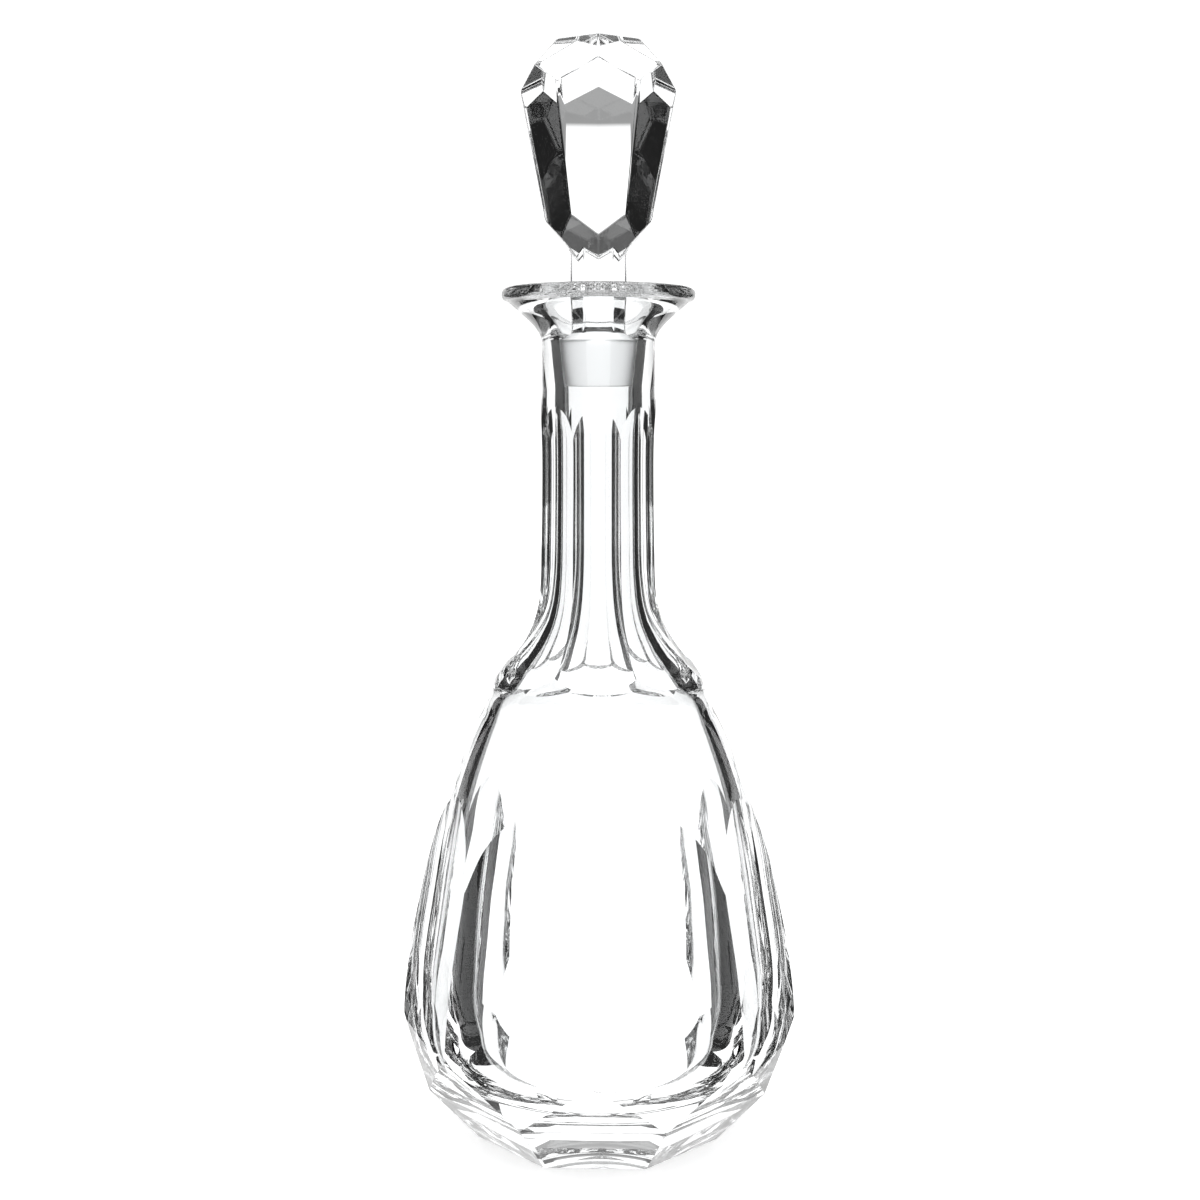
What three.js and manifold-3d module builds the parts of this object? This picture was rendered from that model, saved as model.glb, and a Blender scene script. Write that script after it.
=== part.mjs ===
// Cut crystal decanter: a heavy cut and blown body, and a solid cut stopper with a ground plug.
// Millimetres, +Z up, origin at the centre of the foot, front of the object towards -Y.
import * as THREE from 'three';
import { mergeVertices } from 'three/addons/utils/BufferGeometryUtils.js';
import Module from 'manifold-3d';

const wasm = await Module();
wasm.setup();

// ---- Driving dimensions ----------------------------------------------------------------------

const height = 330;               // foot to the flat on top of the stopper
const lipTop = 258.4;             // height of the pouring lip
const lipRadius = 29.1;
const lipEdge = 3.9;              // thickness of the lip at its outer edge
const lipEdgeRound = 1.7;
const funnelRadius = 21;          // where the flat top of the lip turns down into the funnel
const neckRadius = 17.05;         // plain round neck, above the flutes
const neckTop = 242.5;            // where the neck starts to flare into the lip

const bodySides = 8;
const peakHeight = 33.5;          // where an upright ridge of the body meets the lower bevels
const peakApothem = 61.1;
const valleyHeight = 16.9;        // where the middle of a panel meets the lower bevels
const valleyApothem = 50.6;
const footApothem = 36.5;

const fluteSides = 8;
const fluteNeckRadius = 16.3;     // from the axis to the bottom of a flute, along the neck
const fluteWheel = 60;            // radius of the hollow across a flute
const fluteHalfWidth = 13;
const fluteDepth = 6;             // how far the cutting form stands out of the glass

const boreRadius = 10.3;
const floorHeight = 19;           // thickness of the glass under the cavity

const stopperSides = 6;
const stopperTurn = 1.5;          // degrees; a loose stopper sits a little turned in its socket
const plugTop = 243.1;
const plugBottom = 228.8;
const plugTopRadius = 11.7;
const plugBottomRadius = 10;
const plugGap = 0.3;              // clearance between the ground plug and its socket

const latheSegments = 48;         // a multiple of 16, so every ridge and panel centre has a vertex
const plugSegments = 32;

// ---- Solids ----------------------------------------------------------------------------------

// A closed geometry as a boolean solid: shared corners merged, collapsed triangles left out.
function solidOf(geometry) {
  const bare = geometry.clone();
  bare.deleteAttribute('normal');
  bare.deleteAttribute('uv');
  const merged = mergeVertices(bare, 1e-4);
  const corners = merged.index.array;
  const triangles = [];
  for (let i = 0; i < corners.length; i += 3) {
    const [a, b, c] = [corners[i], corners[i + 1], corners[i + 2]];
    if (a !== b && b !== c && c !== a) triangles.push(a, b, c);
  }
  return new wasm.Manifold(new wasm.Mesh({
    numProp: 3,
    vertProperties: new Float32Array(merged.attributes.position.array),
    triVerts: new Uint32Array(triangles),
  }));
}

function geometryOf(solid) {
  const mesh = solid.getMesh();
  const geometry = new THREE.BufferGeometry();
  geometry.setAttribute('position', new THREE.BufferAttribute(mesh.vertProperties, 3));
  geometry.setIndex(new THREE.BufferAttribute(mesh.triVerts, 1));
  return geometry;
}

// A profile of (radius, height) points turned about +Z. The first corner points at the front.
function turned(points, segments, firstCorner = 0) {
  const geometry = new THREE.LatheGeometry(points, segments, firstCorner);
  return solidOf(geometry.rotateX(Math.PI / 2));
}

// A many-sided solid whose flat sides have the given (apothem, height) profile.
function faceted(apothems, sides, firstCorner) {
  const stretch = 1 / Math.cos(Math.PI / sides);
  const points = apothems.map(([apothem, z]) => new THREE.Vector2(apothem * stretch, z));
  return turned(points, sides, firstCorner);
}

const vectors = (pairs) => pairs.map(([r, z]) => new THREE.Vector2(r, z));

// A smooth outline through (radius, height) pairs.
function smooth(pairs, divisions) {
  const curve = new THREE.CatmullRomCurve3(pairs.map(([r, z]) => new THREE.Vector3(r, z, 0)));
  return curve.getPoints(divisions).map((p) => new THREE.Vector2(p.x, p.y));
}

// ---- Decanter body ---------------------------------------------------------------------------

// Outer surface of the blown blank, from the foot up to the underside of the lip. Below the
// shoulder it stands outside the cut panels, which take it away.
function blankOuter() {
  const side = smooth([[64, 48], [57.9, 70], [53.5, 82.7], [49.6, 95.5], [45.7, 106],
    [40.6, 120], [37.3, 127.5], [35, 132], [33, 136.6], [31.9, 140.4], [31.2, 143.8],
    [30.1, 147], [26.6, 152], [22.8, 158], [20.2, 165], [19.1, 172], [18.7, 180], [18.4, 194],
    [18.3, 208], [18, 216], [17.4, 224], [neckRadius, 232], [neckRadius, neckTop]], 33);
  return [...vectors([[0, 0], [64, 0]]), ...side];
}

// The flared lip: underside, rounded edge, and the funnel that leads into the socket.
function lip() {
  const edgeRadius = lipRadius - lipEdgeRound;
  const under = lipTop - lipEdge;
  const outline = new THREE.Path();
  outline.moveTo(neckRadius, neckTop);
  outline.bezierCurveTo(17.4, 246.5, 21.5, 249.3, edgeRadius, under);
  outline.quadraticCurveTo(lipRadius, under, lipRadius, under + lipEdgeRound);
  outline.lineTo(lipRadius, lipTop - lipEdgeRound);
  outline.absarc(edgeRadius, lipTop - lipEdgeRound, lipEdgeRound, 0, Math.PI / 2, false);
  outline.lineTo(funnelRadius, lipTop);
  outline.bezierCurveTo(17.5, 257.5, 13, 252, 12.2, 246);
  return outline.getPoints(4);
}

// Inside of the body, from the socket of the ground plug down to the rounded floor.
function cavity() {
  const socket = vectors([
    [plugTopRadius + plugGap, plugTop + 0.4], [plugBottomRadius + plugGap, plugBottom - 1],
  ]);
  const bore = smooth([[boreRadius, 226], [boreRadius, 190], [10.8, 172], [13.2, 160],
    [18.2, 151], [23.5, 144], [28.2, 136.5], [33.2, 125], [38.2, 111], [42.6, 96],
    [46.4, 78], [48.8, 58], [49.2, 42], [46.6, 29], [40.5, 22], [30, 19.4]], 20);
  return [...socket, ...bore, new THREE.Vector2(0, floorHeight)];
}

// Eight tall upright panels, straight across and gently curved upwards. They run out in arches
// on the belly and meet in sharp ridges, one of them at the front.
function panels() {
  const swell = smooth([[52.4, 0], [54.9, 16.9], [56.6, 33], [54.2, 57.6], [49.4, 82.7],
    [44.9, 110]], 10).map((p) => [p.x, p.y]);
  return faceted([[0, 0], ...swell, [44.9, height], [0, height]], bodySides, 0);
}

// Eight bevels that undercut the ridges and lead down to the flat foot.
function bevels() {
  const slope = (peakApothem - valleyApothem) / (peakHeight - valleyHeight);
  const outApothem = 90;
  const outHeight = peakHeight + (outApothem - peakApothem) / slope;
  const profile = [[0, 0], [footApothem, 0], [valleyApothem, valleyHeight],
    [outApothem, outHeight], [outApothem, height], [0, height]];
  return faceted(profile, bodySides, Math.PI / bodySides);
}

// The form that cuts the front flute: a shallow hollow section swept up the shoulder and neck.
// It leaves the glass over the shoulder at its lower end, and below the lip at its upper end.
function fluteForm() {
  const along = [[36.4, 137], [31.9, 140.4], [26.8, 144.6], [22.6, 150.4], [19.4, 156.8],
    [17.5, 163.5], [16.8, 171], [16.6, 180], [fluteNeckRadius, 196],
    [fluteNeckRadius, 212], [16.6, 217], [17.4, 222.6], [19.1, 230]];
  const route = new THREE.CatmullRomCurve3(along.map(([r, z]) => new THREE.Vector3(r, 0, z)));
  const halfAngle = Math.asin(fluteHalfWidth / fluteWheel);
  const section = new THREE.Shape();
  section.moveTo(fluteHalfWidth, fluteDepth);
  section.lineTo(-fluteHalfWidth, fluteDepth);
  section.absarc(0, fluteWheel, fluteWheel, -Math.PI / 2 - halfAngle, -Math.PI / 2 + halfAngle, false);
  return new THREE.ExtrudeGeometry(section, { steps: 22, curveSegments: 4, extrudePath: route });
}

function decanterBody() {
  const blank = turned([...blankOuter(), ...lip(), ...cavity()], latheSegments);
  let glass = blank.intersect(panels()).intersect(bevels());
  for (let i = 0; i < fluteSides; i++) {
    const form = fluteForm().rotateZ(i * 2 * Math.PI / fluteSides);
    glass = glass.subtract(solidOf(form));
  }
  return geometryOf(glass);
}

// ---- Stopper ---------------------------------------------------------------------------------

// Six tapering panels between a crown and a pavilion, each of six facets set half a turn off the
// panels, so that every panel has a peak at its top and a point at its bottom.
function stopperHead() {
  const turnHalf = Math.PI / stopperSides;
  const sides = faceted([[0, 262], [11.1, 262], [22.9, height], [0, height]], stopperSides, turnHalf);
  const cut = faceted([[0, 265], [4.6, 265], [15.9, 278.3], [23.15, 316.2],
    [11.9, height], [0, height]], stopperSides, 0);
  return sides.intersect(cut);
}

function stopper() {
  const turnHalf = Math.PI / stopperSides;
  const stem = faceted([[0, 246], [7.45, 246], [7.45, 271], [0, 271]], stopperSides, turnHalf);
  const plug = turned(vectors([[0, plugBottom], [plugBottomRadius - 0.6, plugBottom],
    [plugBottomRadius, plugBottom + 0.6], [plugTopRadius, plugTop], [10.6, plugTop + 1.2],
    [8.4, plugTop + 3.4], [8.2, plugTop + 5.4], [0, plugTop + 5.4]]), plugSegments);
  return geometryOf(stopperHead().add(stem).add(plug).rotate([0, 0, stopperTurn]));
}

// ---- Assembly --------------------------------------------------------------------------------

function crystal(roughness) {
  return new THREE.MeshStandardMaterial({ color: 0xeef3f4, roughness, metalness: 0 });
}

function part(name, geometry, material) {
  const mesh = new THREE.Mesh(geometry, material);
  mesh.name = name;
  return mesh;
}

const decanter = new THREE.Group();
decanter.add(part('decanter_body', decanterBody(), crystal(0.04)));
decanter.add(part('stopper', stopper(), crystal(0.05)));

export default decanter;
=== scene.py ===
"""Cut crystal decanter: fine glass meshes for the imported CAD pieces, and a white studio."""
import math

import bmesh
import bpy
import numpy as np
from mathutils import Matrix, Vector
from mathutils.kdtree import KDTree


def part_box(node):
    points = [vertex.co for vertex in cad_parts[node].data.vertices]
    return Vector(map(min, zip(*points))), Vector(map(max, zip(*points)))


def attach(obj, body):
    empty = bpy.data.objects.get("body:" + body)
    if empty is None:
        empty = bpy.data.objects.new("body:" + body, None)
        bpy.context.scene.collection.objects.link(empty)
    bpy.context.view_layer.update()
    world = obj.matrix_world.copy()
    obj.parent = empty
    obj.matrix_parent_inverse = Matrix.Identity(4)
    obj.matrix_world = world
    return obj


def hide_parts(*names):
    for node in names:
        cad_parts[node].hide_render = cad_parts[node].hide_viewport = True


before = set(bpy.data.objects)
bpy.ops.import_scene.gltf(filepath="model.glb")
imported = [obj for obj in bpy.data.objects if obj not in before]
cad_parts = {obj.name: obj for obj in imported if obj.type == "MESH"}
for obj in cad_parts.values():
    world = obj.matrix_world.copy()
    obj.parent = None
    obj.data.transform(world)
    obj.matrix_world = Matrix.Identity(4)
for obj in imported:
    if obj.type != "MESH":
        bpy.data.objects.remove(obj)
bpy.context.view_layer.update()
_, body_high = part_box("decanter_body")
stopper_low, stopper_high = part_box("stopper")

# ---- Driving dimensions, in millimetres as on the drawing ------------------------------------

MM = 0.001
HEIGHT = stopper_high.z / MM
LIP_TOP = body_high.z / MM
PLUG_BOTTOM = stopper_low.z / MM

LIP_RADIUS = 29.1
LIP_EDGE = 3.9
EDGE_ROUND = 1.7
FUNNEL_RADIUS = 21.0
NECK_RADIUS = 17.05
NECK_TOP = 242.5
SIDES = 8                         # upright panels, bevels and flutes alike
PEAK_HEIGHT, PEAK_APOTHEM = 33.5, 61.1          # where a ridge meets the bevels
VALLEY_HEIGHT, VALLEY_APOTHEM = 16.9, 50.6      # where the middle of a panel meets them
FOOT_APOTHEM = 36.5
BEVEL_REACH = 90.0                # how far the form that cuts the bevels goes on outside the glass
FLUTE_NECK_RADIUS = 16.3
FLUTE_WHEEL = 60.0                # radius of the hollow across a flute
FLUTE_HALF_WIDTH = 13.0
FLUTE_DEPTH = 6.0                 # how far the cutting form stands out of the glass
BORE_RADIUS = 10.3
FLOOR_HEIGHT = 19.0
STOPPER_SIDES = 6
STOPPER_TURN = math.radians(1.5)
STEM_APOTHEM = 7.45
PLUG_TOP = 243.1
PLUG_TOP_RADIUS, PLUG_BOTTOM_RADIUS = 11.7, 10.0
PLUG_EDGE = 0.6                   # rounding of the bottom edge of the plug
PLUG_GAP = 0.3
SOCKET_RISE = 0.4                 # the top of the socket above the top of the plug
SOCKET_BELOW = 6.0                # how far below the plug the grinding of the socket reaches
GROUND_RADIUS = 13.0              # just wider than the ground joint
POLISHED_FOOT = 0.1               # the grinding starts this far above the flat bottom of the plug

TURNED_SEGMENTS = 192
STEP = 1.4                        # spacing of the rings of the body
PLUG_SEGMENTS = 128
PLUG_STEP = 1.0
FLUTE_STEP = 1.2
FLUTE_ARC_POINTS = 25
ROUND_STEPS = 6                   # steps round a quarter of a rounded edge
EDGE_WIDTH = 0.5                  # softening of the cut edges of the stopper

# For true normals an outline is drawn at a fine step, then cut to even points to look them up on.
BODY_NORMAL_STEP = 0.15
PLUG_NORMAL_STEP = 0.05
LOOKUP_STEP = 0.1

SPAN_POINTS = 40                  # points worked out between two points of a smooth curve
BEZIER_POINTS = 80
TINY = 1e-6                       # lengths below this count as nothing

# Face marks: which real surface a face belongs to, kept through the cuts.
TURNED, PANEL, FLAT, FLUTE, EDGE = 1, 2, 3, 4, 5
SHARP = math.radians(16)          # an edge sharper than this is a cut edge
NEARLY_FLAT = math.radians(0.5)   # faces that differ by less than this are one face

CRYSTAL_TINT = (0.985, 0.992, 0.995, 1)
CRYSTAL_IOR = 1.545
HAZE_SCALE = 45.0
POLISHED_HAZE = 0.02
PLUG_ROUGHNESS = 0.3
SOCKET_ROUGHNESS = 0.06


# ---- Curves ----------------------------------------------------------------------------------

def smooth(points, spacing):
    """A centripetal Catmull-Rom curve through the points, cut to even steps."""
    p = np.array(points, float)
    p = np.vstack([2 * p[0] - p[1], p, 2 * p[-1] - p[-2]])
    out = []
    for p0, p1, p2, p3 in zip(p, p[1:], p[2:], p[3:]):
        d0, d1, d2 = (math.sqrt(np.linalg.norm(b - a)) for a, b in ((p0, p1), (p1, p2), (p2, p3)))
        m1 = ((p1 - p0) / d0 - (p2 - p0) / (d0 + d1) + (p2 - p1) / d1) * d1
        m2 = ((p2 - p1) / d1 - (p3 - p1) / (d1 + d2) + (p3 - p2) / d2) * d1
        t = np.linspace(0, 1, SPAN_POINTS, endpoint=False)[:, None]
        out.append(p1 + m1 * t + (3 * (p2 - p1) - 2 * m1 - m2) * t**2
                   + (2 * (p1 - p2) + m1 + m2) * t**3)
    return even(np.vstack([*out, p[-2][None]]), spacing)


def bezier(p0, p1, p2, p3, spacing):
    """A cubic Bezier curve, cut to even steps."""
    t = np.linspace(0, 1, BEZIER_POINTS)[:, None]
    p0, p1, p2, p3 = (np.array(q, float) for q in (p0, p1, p2, p3))
    curve = p0 * (1 - t)**3 + 3 * p1 * t * (1 - t)**2 + 3 * p2 * t**2 * (1 - t) + p3 * t**3
    return even(curve, spacing)


def arc(centre, radius, start, end, steps):
    """Part of a circle, between two angles in degrees."""
    angles = np.radians(np.linspace(start, end, steps + 1))
    return np.array(centre) + radius * np.column_stack([np.cos(angles), np.sin(angles)])


def even(curve, spacing):
    """The same curve with its points evenly spaced."""
    length = np.concatenate([[0], np.cumsum(np.linalg.norm(np.diff(curve, axis=0), axis=1))])
    count = max(2, int(round(length[-1] / spacing)) + 1)
    at = np.linspace(0, length[-1], count)
    return np.column_stack([np.interp(at, length, column) for column in curve.T])


def joined(*parts):
    """Stretches of outline end to end, with repeated points left out."""
    points = np.vstack([np.atleast_2d(np.array(p, float)) for p in parts])
    keep = np.concatenate([[True], np.linalg.norm(np.diff(points, axis=0), axis=1) > TINY])
    return points[keep]


# ---- Solids ----------------------------------------------------------------------------------

def solid(name, vertices, faces, mark):
    """A closed mesh object in millimetres, every face marked with its surface."""
    mesh = bpy.data.meshes.new(name)
    mesh.from_pydata([tuple(v) for v in vertices], [], faces)
    marks = mesh.attributes.new("surface", "INT", "FACE")
    marks.data.foreach_set("value", np.full(len(mesh.polygons), mark, np.int32))
    obj = bpy.data.objects.new(name, mesh)
    bpy.context.scene.collection.objects.link(obj)
    return obj


def turned(name, profile, segments, first=0.0, mark=TURNED):
    """A profile of (radius, height) from the axis to the axis, turned about Z. first is the
    angle of the first corner from the front, which is -Y."""
    angles = first + np.arange(segments) * 2 * math.pi / segments
    ring = np.column_stack([np.sin(angles), -np.cos(angles)])
    vertices, rows = [], []
    for r, z in profile:
        if r < TINY:
            rows.append([len(vertices)] * segments)
            vertices.append((0.0, 0.0, z))
        else:
            rows.append(list(range(len(vertices), len(vertices) + segments)))
            vertices.extend((x * r, y * r, z) for x, y in ring)
    faces = []
    for low, high in zip(rows, rows[1:]):
        for i in range(segments):
            j = (i + 1) % segments
            corners = list(dict.fromkeys([low[i], low[j], high[j], high[i]]))
            if len(corners) > 2:
                faces.append(corners)
    return solid(name, vertices, faces, mark)


def faceted(name, apothems, sides, first, mark):
    """A many-sided solid whose flat sides have the given (apothem, height) profile."""
    stretch = 1 / math.cos(math.pi / sides)
    return turned(name, [(a * stretch, z) for a, z in apothems], sides, first, mark)


def cut(base, tools):
    """base after its boolean tools, which are (operation, object) pairs. The tools are used up."""
    for operation, tool in tools:
        step = base.modifiers.new(operation.lower(), "BOOLEAN")
        step.object, step.operation, step.solver = tool, operation, "MANIFOLD"
    graph = bpy.context.evaluated_depsgraph_get()
    mesh = bpy.data.meshes.new_from_object(
        base.evaluated_get(graph), preserve_all_data_layers=True, depsgraph=graph)
    for used in (base, *(tool for _, tool in tools)):
        bpy.data.objects.remove(used)
    return mesh


# ---- Outlines of the body --------------------------------------------------------------------

def blank_outline(spacing):
    """The blown blank before cutting, from the foot to the start of the lip."""
    side = smooth([(64, 48), (57.9, 70), (53.5, 82.7), (49.6, 95.5), (45.7, 106), (40.6, 120),
                   (37.3, 127.5), (35, 132), (33, 136.6), (31.9, 140.4), (31.2, 143.8), (30.1, 147),
                   (26.6, 152), (22.8, 158), (20.2, 165), (19.1, 172), (18.7, 180), (18.4, 194),
                   (18.3, 208), (18, 216), (17.4, 224), (NECK_RADIUS, 232), (NECK_RADIUS, NECK_TOP)],
                  spacing)
    return joined((0, 0), (64, 0), side)


def lip_outline(spacing):
    """Underside, rounded edge and funnel of the lip, down to the ground socket."""
    edge = LIP_RADIUS - EDGE_ROUND
    under, over = LIP_TOP - LIP_EDGE, LIP_TOP - EDGE_ROUND
    return joined(
        bezier((NECK_RADIUS, NECK_TOP), (17.4, 246.5), (21.5, 249.3), (edge, under), spacing),
        arc((edge, under + EDGE_ROUND), EDGE_ROUND, -90, 0, ROUND_STEPS),
        arc((edge, over), EDGE_ROUND, 0, 90, ROUND_STEPS),
        bezier((FUNNEL_RADIUS, LIP_TOP), (17.5, 257.5), (13, 252), (12.2, 246), spacing),
    )


def cavity_outline(spacing):
    """Socket of the ground plug, bore, shoulder and belly down to the rounded floor."""
    socket = even(np.array([(PLUG_TOP_RADIUS + PLUG_GAP, PLUG_TOP + SOCKET_RISE),
                            (PLUG_BOTTOM_RADIUS + PLUG_GAP, PLUG_BOTTOM - 1)]), spacing)
    inside = smooth([(BORE_RADIUS, 226), (BORE_RADIUS, 190), (10.8, 172), (13.2, 160),
                     (18.2, 151), (23.5, 144), (28.2, 136.5), (33.2, 125), (38.2, 111),
                     (42.6, 96), (46.4, 78), (48.8, 58), (49.2, 42), (46.6, 29), (40.5, 22),
                     (30, 19.4), (15, FLOOR_HEIGHT), (0, FLOOR_HEIGHT)], spacing)
    return joined(socket, inside)


def body_outline(spacing):
    """The whole turned outline of the body, outside and inside."""
    return joined(blank_outline(spacing), lip_outline(spacing), cavity_outline(spacing))


def panel_outline(spacing):
    """How far the flat of a panel stands from the axis, by height."""
    return smooth([(52.4, 0), (54.9, 16.9), (56.6, 33), (54.2, 57.6), (49.4, 82.7),
                   (44.9, 110)], spacing)


def flute_route(spacing):
    """The bottom of a flute, from over the shoulder up to the neck, as (radius, height)."""
    n = FLUTE_NECK_RADIUS
    return smooth([(36.4, 137), (31.9, 140.4), (26.8, 144.6), (22.6, 150.4), (19.4, 156.8),
                   (17.5, 163.5), (16.8, 171), (16.6, 180), (n, 196), (n, 212), (16.6, 217),
                   (17.4, 222.6), (19.1, 230)], spacing)


def slopes(route):
    """The unit tangent at every point of a route, and the normal on its outer side."""
    tangent = np.gradient(route, axis=0)
    tangent /= np.linalg.norm(tangent, axis=1)[:, None]
    return tangent, np.column_stack([tangent[:, 1], -tangent[:, 0]])


def flute_form(index):
    """The form that cuts one flute: a hollow section swept along the route."""
    route = flute_route(FLUTE_STEP)
    _, out = slopes(route)
    half = math.asin(FLUTE_HALF_WIDTH / FLUTE_WHEEL)
    angles = np.linspace(-half, half, FLUTE_ARC_POINTS)
    across = np.append(FLUTE_WHEEL * np.sin(angles), [FLUTE_HALF_WIDTH, -FLUTE_HALF_WIDTH])
    proud = np.append(FLUTE_WHEEL * (1 - np.cos(angles)), [FLUTE_DEPTH, FLUTE_DEPTH])
    turn = index * 2 * math.pi / SIDES
    ahead = np.array([math.sin(turn), -math.cos(turn), 0])
    side = np.array([math.cos(turn), math.sin(turn), 0])
    vertices = []
    for (r, z), (nr, nz) in zip(route, out):
        for a, p in zip(across, proud):
            vertices.append(ahead * (r + nr * p) + side * a + np.array([0, 0, z + nz * p]))
    count = len(across)
    last = (len(route) - 1) * count
    faces = []
    for low in range(0, last, count):
        high = low + count
        for i in range(count):
            j = (i + 1) % count
            faces.append([low + j, low + i, high + i, high + j])
    faces.append(list(range(count)))
    faces.append([last + i for i in reversed(range(count))])
    return solid(f"flute_form_{index}", vertices, faces, FLUTE)


# ---- Normals: each face takes the true surface's normal, so the glass refracts cleanly --------

def nearest_on(profile):
    """A lookup of the nearest point of an outline and the outward normal (radial, up) there."""
    profile = even(profile, LOOKUP_STEP)
    _, out = slopes(profile)
    tree = KDTree(len(profile))
    for i, (r, z) in enumerate(profile):
        tree.insert((r, z, 0), i)
    tree.balance()

    def look(r, z):
        nearest = tree.find((r, z, 0))[1]
        return profile[nearest], out[nearest]

    return look


def side_of(x, y, count, offset):
    """The angle, from the front, of the middle of the repeat that holds (x, y)."""
    step = 2 * math.pi / count
    return round((math.atan2(x, -y) - offset) / step) * step + offset


def true_normal(mark, face, point, turned_normal, panel_normal, flute_normal):
    """The normal, of any length, of the real surface that a face belongs to."""
    x, y, z = point
    if mark == TURNED:
        r = math.hypot(x, y)
        _, (nr, nz) = turned_normal(r, z)
        return np.array((x / r * nr, y / r * nr, nz) if r > TINY else (0, 0, nz))
    if mark == PANEL:
        turn = side_of(face.center.x, face.center.y, SIDES, math.pi / SIDES)
        ahead = (math.sin(turn), -math.cos(turn))
        _, (nr, nz) = panel_normal(x * ahead[0] + y * ahead[1], z)
        return np.array((ahead[0] * nr, ahead[1] * nr, nz))
    if mark == FLUTE:
        turn = side_of(face.center.x, face.center.y, SIDES, 0)
        ahead = (math.sin(turn), -math.cos(turn))
        (pr, pz), (nr, nz) = flute_normal(x * ahead[0] + y * ahead[1], z)
        hub = pr + nr * FLUTE_WHEEL
        return np.array((ahead[0] * hub - x, ahead[1] * hub - y, pz + nz * FLUTE_WHEEL - z))
    return np.array(face.normal)


def set_normals(mesh, turned_normal, panel_normal=None, flute_normal=None):
    """Gives every face the normals of its true surface. A softened edge takes those of the
    faces on either side of it."""
    marks = np.zeros(len(mesh.polygons), np.int32)
    mesh.attributes["surface"].data.foreach_get("value", marks)
    normals = np.zeros((len(mesh.loops), 3))
    shared = np.zeros((len(mesh.vertices), 3))
    for face, mark in zip(mesh.polygons, marks):
        if mark == EDGE:
            continue
        for loop in face.loop_indices:
            vertex = mesh.loops[loop].vertex_index
            n = true_normal(mark, face, mesh.vertices[vertex].co, turned_normal, panel_normal,
                            flute_normal)
            normals[loop] = n / np.linalg.norm(n)
            shared[vertex] += normals[loop]
    for face, mark in zip(mesh.polygons, marks):
        if mark != EDGE:
            continue
        for loop in face.loop_indices:
            n = shared[mesh.loops[loop].vertex_index]
            normals[loop] = n / np.linalg.norm(n) if n.any() else face.normal
    mesh.shade_smooth()
    mesh.normals_split_custom_set(normals.tolist())


def soften(mesh):
    """Cuts a narrow strip along every sharp edge. Its faces are marked EDGE."""
    work = bmesh.new()
    work.from_mesh(mesh)
    bmesh.ops.dissolve_limit(work, angle_limit=NEARLY_FLAT, verts=work.verts, edges=work.edges)
    sharp = [edge for edge in work.edges if edge.calc_face_angle(0) > SHARP]
    made = bmesh.ops.bevel(work, geom=sharp, offset=EDGE_WIDTH, segments=1, affect="EDGES")
    layer = work.faces.layers.int["surface"]
    for face in made["faces"]:
        face[layer] = EDGE
    work.to_mesh(mesh)
    work.free()


def into_place(name, mesh, node, body, material):
    """The finished mesh, in metres, standing for its CAD node and riding on its body."""
    mesh.name = name
    mesh.transform(Matrix.Scale(MM, 4))
    mesh.materials.clear()
    mesh.materials.append(material)
    piece = bpy.data.objects.new(name, mesh)
    bpy.context.scene.collection.objects.link(piece)
    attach(piece, body)
    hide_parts(node)
    return piece


# ---- The two pieces --------------------------------------------------------------------------

def panel_form():
    """The eight-sided form whose sides are the upright panels. It starts just below the foot."""
    below = -1
    swell = panel_outline(STEP)
    outline = joined((0, below), (swell[0][0], below), swell[1:], (swell[-1][0], HEIGHT), (0, HEIGHT))
    return faceted("panels", outline, SIDES, 0, PANEL)


def bevel_form():
    """The eight-sided form whose sides are the bevels that lead down to the foot."""
    slope = (PEAK_APOTHEM - VALLEY_APOTHEM) / (PEAK_HEIGHT - VALLEY_HEIGHT)
    reach_height = PEAK_HEIGHT + (BEVEL_REACH - PEAK_APOTHEM) / slope
    outline = [(0, 0), (FOOT_APOTHEM, 0), (VALLEY_APOTHEM, VALLEY_HEIGHT),
               (BEVEL_REACH, reach_height), (BEVEL_REACH, HEIGHT), (0, HEIGHT)]
    return faceted("bevels", outline, SIDES, math.pi / SIDES, FLAT)


def body_mesh():
    """The blown blank with its panels, bevels and flutes cut."""
    blank = turned("blank", body_outline(STEP), TURNED_SEGMENTS)
    flutes = [("DIFFERENCE", flute_form(i)) for i in range(SIDES)]
    mesh = cut(blank, [("INTERSECT", panel_form()), ("INTERSECT", bevel_form()), *flutes])
    set_normals(mesh, nearest_on(body_outline(BODY_NORMAL_STEP)),
                nearest_on(panel_outline(BODY_NORMAL_STEP)),
                nearest_on(flute_route(BODY_NORMAL_STEP)))
    return mesh


def plug_outline(spacing):
    """The tapered plug with its rounded bottom edge, and the shoulder that leads to the stem."""
    flat_radius = PLUG_BOTTOM_RADIUS - PLUG_EDGE
    taper_start = PLUG_BOTTOM + PLUG_EDGE
    side = even(np.array([(PLUG_BOTTOM_RADIUS, taper_start), (PLUG_TOP_RADIUS, PLUG_TOP)]), spacing)
    return joined((0, PLUG_BOTTOM), (flat_radius, PLUG_BOTTOM),
                  arc((flat_radius, taper_start), PLUG_EDGE, -90, 0, ROUND_STEPS), side,
                  (10.6, PLUG_TOP + 1.2), (8.4, PLUG_TOP + 3.4), (8.2, PLUG_TOP + 5.4),
                  (0, PLUG_TOP + 5.4))


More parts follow.
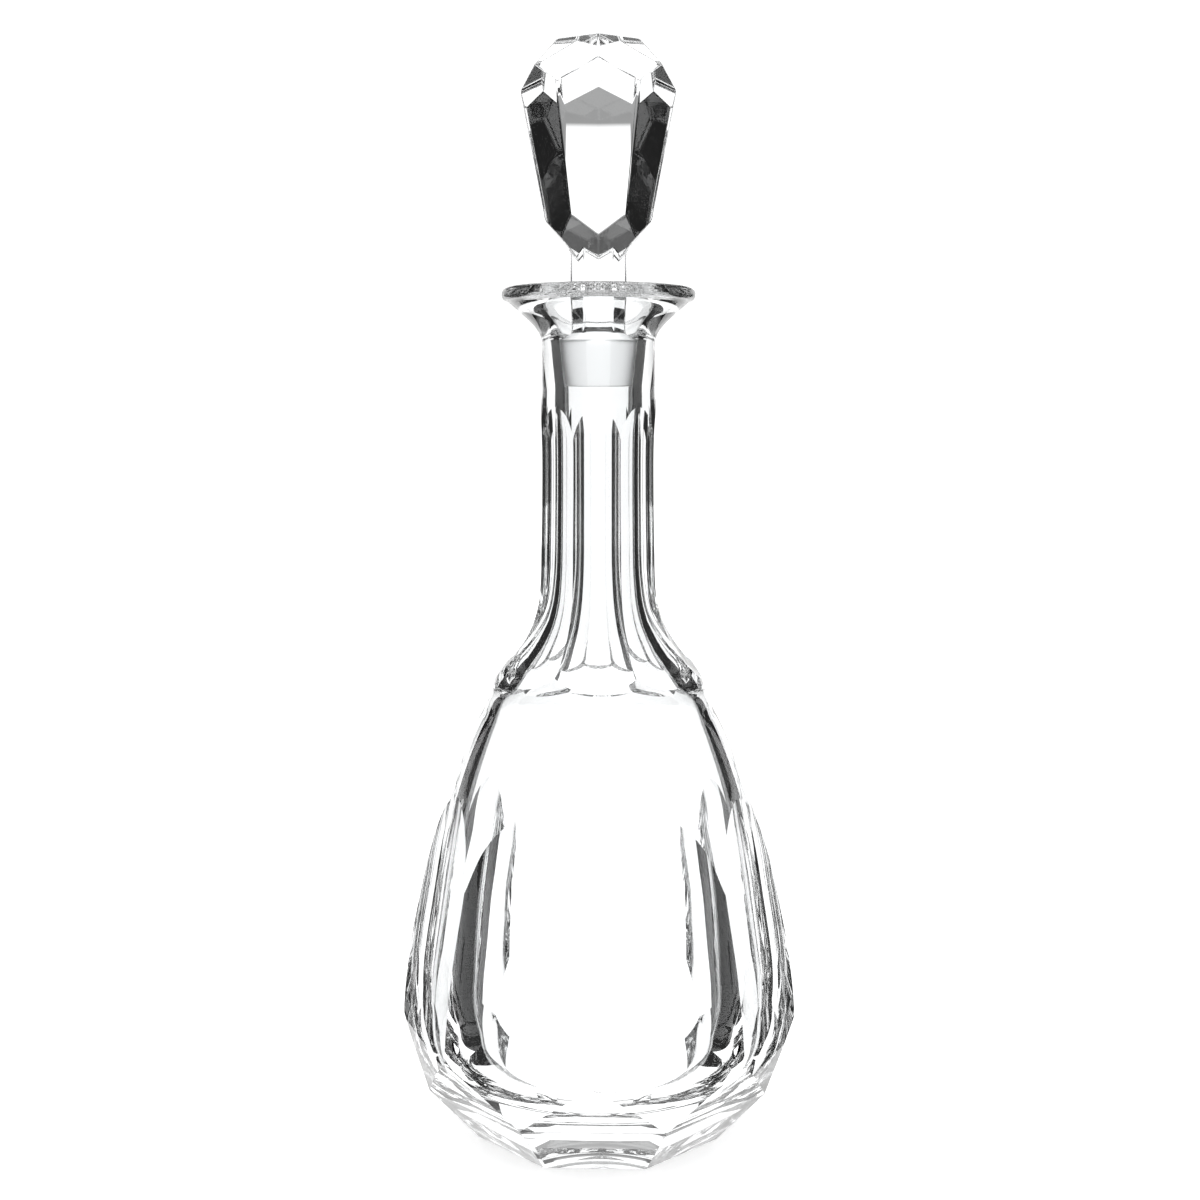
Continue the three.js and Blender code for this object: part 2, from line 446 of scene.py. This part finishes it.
def stopper_mesh():
    """The cut head, the six-sided stem and the ground plug, joined and with softened edges."""
    half = math.pi / STOPPER_SIDES
    sides = faceted("sides", [(0, 262), (11.1, 262), (22.9, HEIGHT), (0, HEIGHT)],
                    STOPPER_SIDES, half + STOPPER_TURN, FLAT)
    crown = faceted("crown", [(0, 265), (4.6, 265), (15.9, 278.3), (23.15, 316.2), (11.9, HEIGHT),
                              (0, HEIGHT)], STOPPER_SIDES, STOPPER_TURN, FLAT)
    stem = faceted("stem", [(0, 246), (STEM_APOTHEM, 246), (STEM_APOTHEM, 271), (0, 271)],
                   STOPPER_SIDES, half + STOPPER_TURN, FLAT)
    plug = turned("plug", plug_outline(PLUG_STEP), PLUG_SEGMENTS)
    mesh = cut(sides, [("INTERSECT", crown), ("UNION", stem), ("UNION", plug)])
    soften(mesh)
    set_normals(mesh, nearest_on(plug_outline(PLUG_NORMAL_STEP)))
    return mesh


# ---- Materials -------------------------------------------------------------------------------

def math_node(tree, operation, *values):
    """The output of a new Math node. Each value is a number or another node's output."""
    node = tree.nodes.new("ShaderNodeMath")
    node.operation = operation
    for socket, value in zip(node.inputs, values):
        if isinstance(value, (int, float)):
            socket.default_value = value
        else:
            tree.links.new(value, socket)
    return node.outputs[0]


def ramp(tree, value, low, high, at_low, at_high):
    """A smooth change from at_low to at_high while value goes from low to high."""
    node = tree.nodes.new("ShaderNodeMapRange")
    node.interpolation_type = "SMOOTHSTEP"
    node.inputs["From Min"].default_value = low
    node.inputs["From Max"].default_value = high
    node.inputs["To Min"].default_value = at_low
    node.inputs["To Max"].default_value = at_high
    tree.links.new(value, node.inputs["Value"])
    return node.outputs["Result"]


def crystal(name, ground):
    """Polished lead crystal with the faint, uneven haze of hand polishing. ground is the lowest
    and highest point, the widest radius, all in millimetres, and the roughness of its ground part."""
    material = bpy.data.materials.new(name)
    material.use_nodes = True
    tree = material.node_tree
    shader = tree.nodes["Principled BSDF"]
    shader.inputs["Base Color"].default_value = CRYSTAL_TINT
    shader.inputs["Transmission Weight"].default_value = 1.0
    shader.inputs["IOR"].default_value = CRYSTAL_IOR
    place = tree.nodes.new("ShaderNodeTexCoord").outputs["Object"]
    haze = tree.nodes.new("ShaderNodeTexNoise")
    haze.inputs["Scale"].default_value = HAZE_SCALE
    tree.links.new(place, haze.inputs["Vector"])
    split = tree.nodes.new("ShaderNodeSeparateXYZ")
    tree.links.new(place, split.inputs[0])
    x, y, z = split.outputs
    low, high, radius, roughness = ground
    low, high, radius = low * MM, high * MM, radius * MM
    square_x = math_node(tree, "MULTIPLY", x, x)
    square_y = math_node(tree, "MULTIPLY", y, y)
    across = math_node(tree, "SQRT", math_node(tree, "ADD", square_x, square_y))
    inside = math_node(tree, "MULTIPLY", math_node(tree, "GREATER_THAN", z, low),
                       math_node(tree, "LESS_THAN", z, high))
    frosted = math_node(tree, "MULTIPLY", inside, math_node(tree, "LESS_THAN", across, radius))
    polished = math_node(tree, "MULTIPLY", haze.outputs["Fac"], POLISHED_HAZE)
    rough = math_node(tree, "MULTIPLY", frosted, roughness)
    tree.links.new(math_node(tree, "ADD", polished, rough), shader.inputs["Roughness"])
    return material


# ---- Studio ----------------------------------------------------------------------------------

CAMERA_DISTANCE = 0.512
CAMERA_HEIGHT = 0.2183
CAMERA_TURN = math.radians(1.7)
CAMERA_PITCH = math.radians(6.0)
CAMERA_YAW = math.radians(0.05)    # how far the camera looks to the right of the axis
LENS = 50.5
WHITE = 1.2                       # strength of the white backdrop and of the world

# What the camera sees round the glass: a plain floor, just below the foot.
FLOOR_HALF_SIZE = 4.0
FLOOR_DROP = 0.0002
FLOOR_GREY = 0.9
FLOOR_ROUGHNESS = 0.9
FLOOR_GLOW = 0.55

# What the glass sees: a white table and backdrop between two dark cards that stand in a V. The
# angles are in degrees, turned from straight behind and raised from level, and the rest in metres.
TABLE_HALF_SIZE = 1.4
TABLE_DROP = 0.0003
TABLE_WHITE = 1.5
DOME_RADIUS = 1.5
DOME_RINGS = 32
DOME_SEGMENTS = 64
BACKDROP_TURN = (43.5, 46)        # where the white backdrop ends at either side
BACKDROP_RISE = (26.1, 26.5)      # where it ends at the top
SHOULDER_RISE = (14, 20)          # where it narrows on the way up
SHOULDER_TURN = 22                # how much it narrows by, at either side
STRIP_TURN = (18, 24)             # half width of a dimmer strip that goes on up above it
STRIP_RISE = (34, 38)             # where the strip fades on the way up
STRIP_FADE = 0.33                 # how much of it is left above that
STRIP_GREY = 0.33
OVERHEAD_RISE = (52, 60)          # above this a soft light hangs overhead
FRONT_TURN = (100, 150)           # where the grey room in front fades in
FRONT_GREY = 0.3
DARK = 0.015                      # what is left where nothing is lit
CARD_FOLDS = [(0.072, -0.12), (0.08, 0), (0.235, 0.38)]  # (aside, behind) along the right card
CARD_HEIGHT = 0.258
CARD_GREY = 0.025

MOST_BOUNCES = 32                 # light crosses many faces inside the glass
GLOSSY_BOUNCES = 16


def make_camera():
    data = bpy.data.cameras.new("camera")
    data.lens = LENS
    camera = bpy.data.objects.new("camera", data)
    aside = math.sin(CAMERA_TURN) * CAMERA_DISTANCE
    ahead = -math.cos(CAMERA_TURN) * CAMERA_DISTANCE
    camera.location = (aside, ahead, CAMERA_HEIGHT)
    camera.rotation_euler = (math.pi / 2 - CAMERA_PITCH, 0, CAMERA_TURN - CAMERA_YAW)
    bpy.context.scene.collection.objects.link(camera)
    bpy.context.scene.camera = camera
    return camera


def make_world():
    """An even white surround."""
    world = bpy.data.worlds.new("white_room")
    world.use_nodes = True
    background = world.node_tree.nodes["Background"]
    background.inputs["Color"].default_value = (1, 1, 1, 1)
    background.inputs["Strength"].default_value = WHITE
    bpy.context.scene.world = world


def sheet(name, corners):
    """A flat four-cornered sheet."""
    mesh = bpy.data.meshes.new(name)
    mesh.from_pydata(corners, [], [(0, 1, 2, 3)])
    obj = bpy.data.objects.new(name, mesh)
    bpy.context.scene.collection.objects.link(obj)
    return obj


def level(half, height):
    """The corners of a level square."""
    return [(-half, -half, height), (half, -half, height), (half, half, height),
            (-half, half, height)]


def make_floor():
    """The plain white floor that the camera sees."""
    floor = sheet("floor", level(FLOOR_HALF_SIZE, -FLOOR_DROP))
    material = bpy.data.materials.new("floor_white")
    material.use_nodes = True
    shader = material.node_tree.nodes["Principled BSDF"]
    shader.inputs["Base Color"].default_value = (FLOOR_GREY, FLOOR_GREY, FLOOR_GREY, 1)
    shader.inputs["Roughness"].default_value = FLOOR_ROUGHNESS
    shader.inputs["Emission Color"].default_value = (1, 1, 1, 1)
    shader.inputs["Emission Strength"].default_value = FLOOR_GLOW
    floor.data.materials.append(material)
    floor.visible_transmission = floor.visible_glossy = False


def glow(name, pattern=None, strength=1.0):
    """A light-giving material, even or with its strength from the object's own x, y and z."""
    material = bpy.data.materials.new(name)
    material.use_nodes = True
    tree = material.node_tree
    tree.nodes.clear()
    light = tree.nodes.new("ShaderNodeEmission")
    light.inputs["Strength"].default_value = strength
    if pattern:
        split = tree.nodes.new("ShaderNodeSeparateXYZ")
        tree.links.new(tree.nodes.new("ShaderNodeTexCoord").outputs["Object"], split.inputs[0])
        tree.links.new(pattern(tree, *split.outputs), light.inputs["Strength"])
    out = tree.nodes.new("ShaderNodeOutputMaterial")
    tree.links.new(light.outputs[0], out.inputs["Surface"])
    return material


def for_glass(obj, material, camera=None):
    """Shows only in what the glass mirrors and refracts, and moves with the camera if given it."""
    obj.data.materials.append(material)
    obj.visible_camera = obj.visible_diffuse = obj.visible_shadow = False
    if camera:
        obj.rotation_euler = (0, 0, CAMERA_TURN)
        bpy.context.view_layer.update()
        obj.parent = camera
        obj.matrix_parent_inverse = camera.matrix_world.inverted()


def dome_light(tree, x, y, z):
    """White behind, dark at the sides, grey in front, and white again overhead."""
    turn = math_node(tree, "ABSOLUTE", math_node(tree, "ARCTAN2", x, y))
    rise = math_node(tree, "ARCSINE", math_node(tree, "DIVIDE", z, DOME_RADIUS))
    narrow = ramp(tree, rise, *map(math.radians, SHOULDER_RISE), 0, math.radians(SHOULDER_TURN))
    narrowed = math_node(tree, "ADD", turn, narrow)
    behind = ramp(tree, narrowed, *map(math.radians, BACKDROP_TURN), WHITE, 0)
    front = ramp(tree, turn, *map(math.radians, FRONT_TURN), 0, FRONT_GREY)
    below = ramp(tree, rise, *map(math.radians, BACKDROP_RISE), 1, 0)
    lit = math_node(tree, "MULTIPLY", math_node(tree, "ADD", behind, front), below)
    strip_across = ramp(tree, turn, *map(math.radians, STRIP_TURN), STRIP_GREY, 0)
    strip_up = ramp(tree, rise, *map(math.radians, STRIP_RISE), 1, STRIP_FADE)
    strip = math_node(tree, "MULTIPLY", strip_across, strip_up)
    overhead = ramp(tree, rise, *map(math.radians, OVERHEAD_RISE), DARK, WHITE)
    return math_node(tree, "ADD", math_node(tree, "MAXIMUM", lit, strip), overhead)


def make_surroundings(camera):
    """The dome, the table and the two folded cards that only the glass sees."""
    profile = arc((0, 0), DOME_RADIUS, -90, 90, DOME_RINGS)
    profile[0][0] = profile[-1][0] = 0
    dome = turned("dome", profile, DOME_SEGMENTS)
    dome.location = (0, 0, HEIGHT * MM / 2)
    for_glass(dome, glow("dome_light", dome_light), camera)
    table = sheet("table", level(TABLE_HALF_SIZE, -TABLE_DROP))
    for_glass(table, glow("table_light", strength=TABLE_WHITE))
    dark = glow("card", strength=CARD_GREY)
    for side in (-1, 1):
        for (x0, y0), (x1, y1) in zip(CARD_FOLDS, CARD_FOLDS[1:]):
            corners = [(side * x0, y0, 0), (side * x1, y1, 0), (side * x1, y1, CARD_HEIGHT),
                       (side * x0, y0, CARD_HEIGHT)]
            for_glass(sheet("card", corners), dark, camera)


camera = make_camera()
make_world()
make_floor()
make_surroundings(camera)

into_place("crystal_body", body_mesh(), "decanter_body", "decanter",
           crystal("crystal_body", (PLUG_BOTTOM - SOCKET_BELOW, PLUG_TOP + SOCKET_RISE,
                                    GROUND_RADIUS, SOCKET_ROUGHNESS)))
into_place("crystal_stopper", stopper_mesh(), "stopper", "stopper",
           crystal("crystal_stopper", (PLUG_BOTTOM + POLISHED_FOOT, PLUG_TOP,
                                       GROUND_RADIUS, PLUG_ROUGHNESS)))

scene = bpy.context.scene
scene.view_settings.view_transform = "Standard"
scene.cycles.max_bounces = MOST_BOUNCES
scene.cycles.transmission_bounces = MOST_BOUNCES
scene.cycles.glossy_bounces = GLOSSY_BOUNCES
scene.cycles.transparent_max_bounces = GLOSSY_BOUNCES
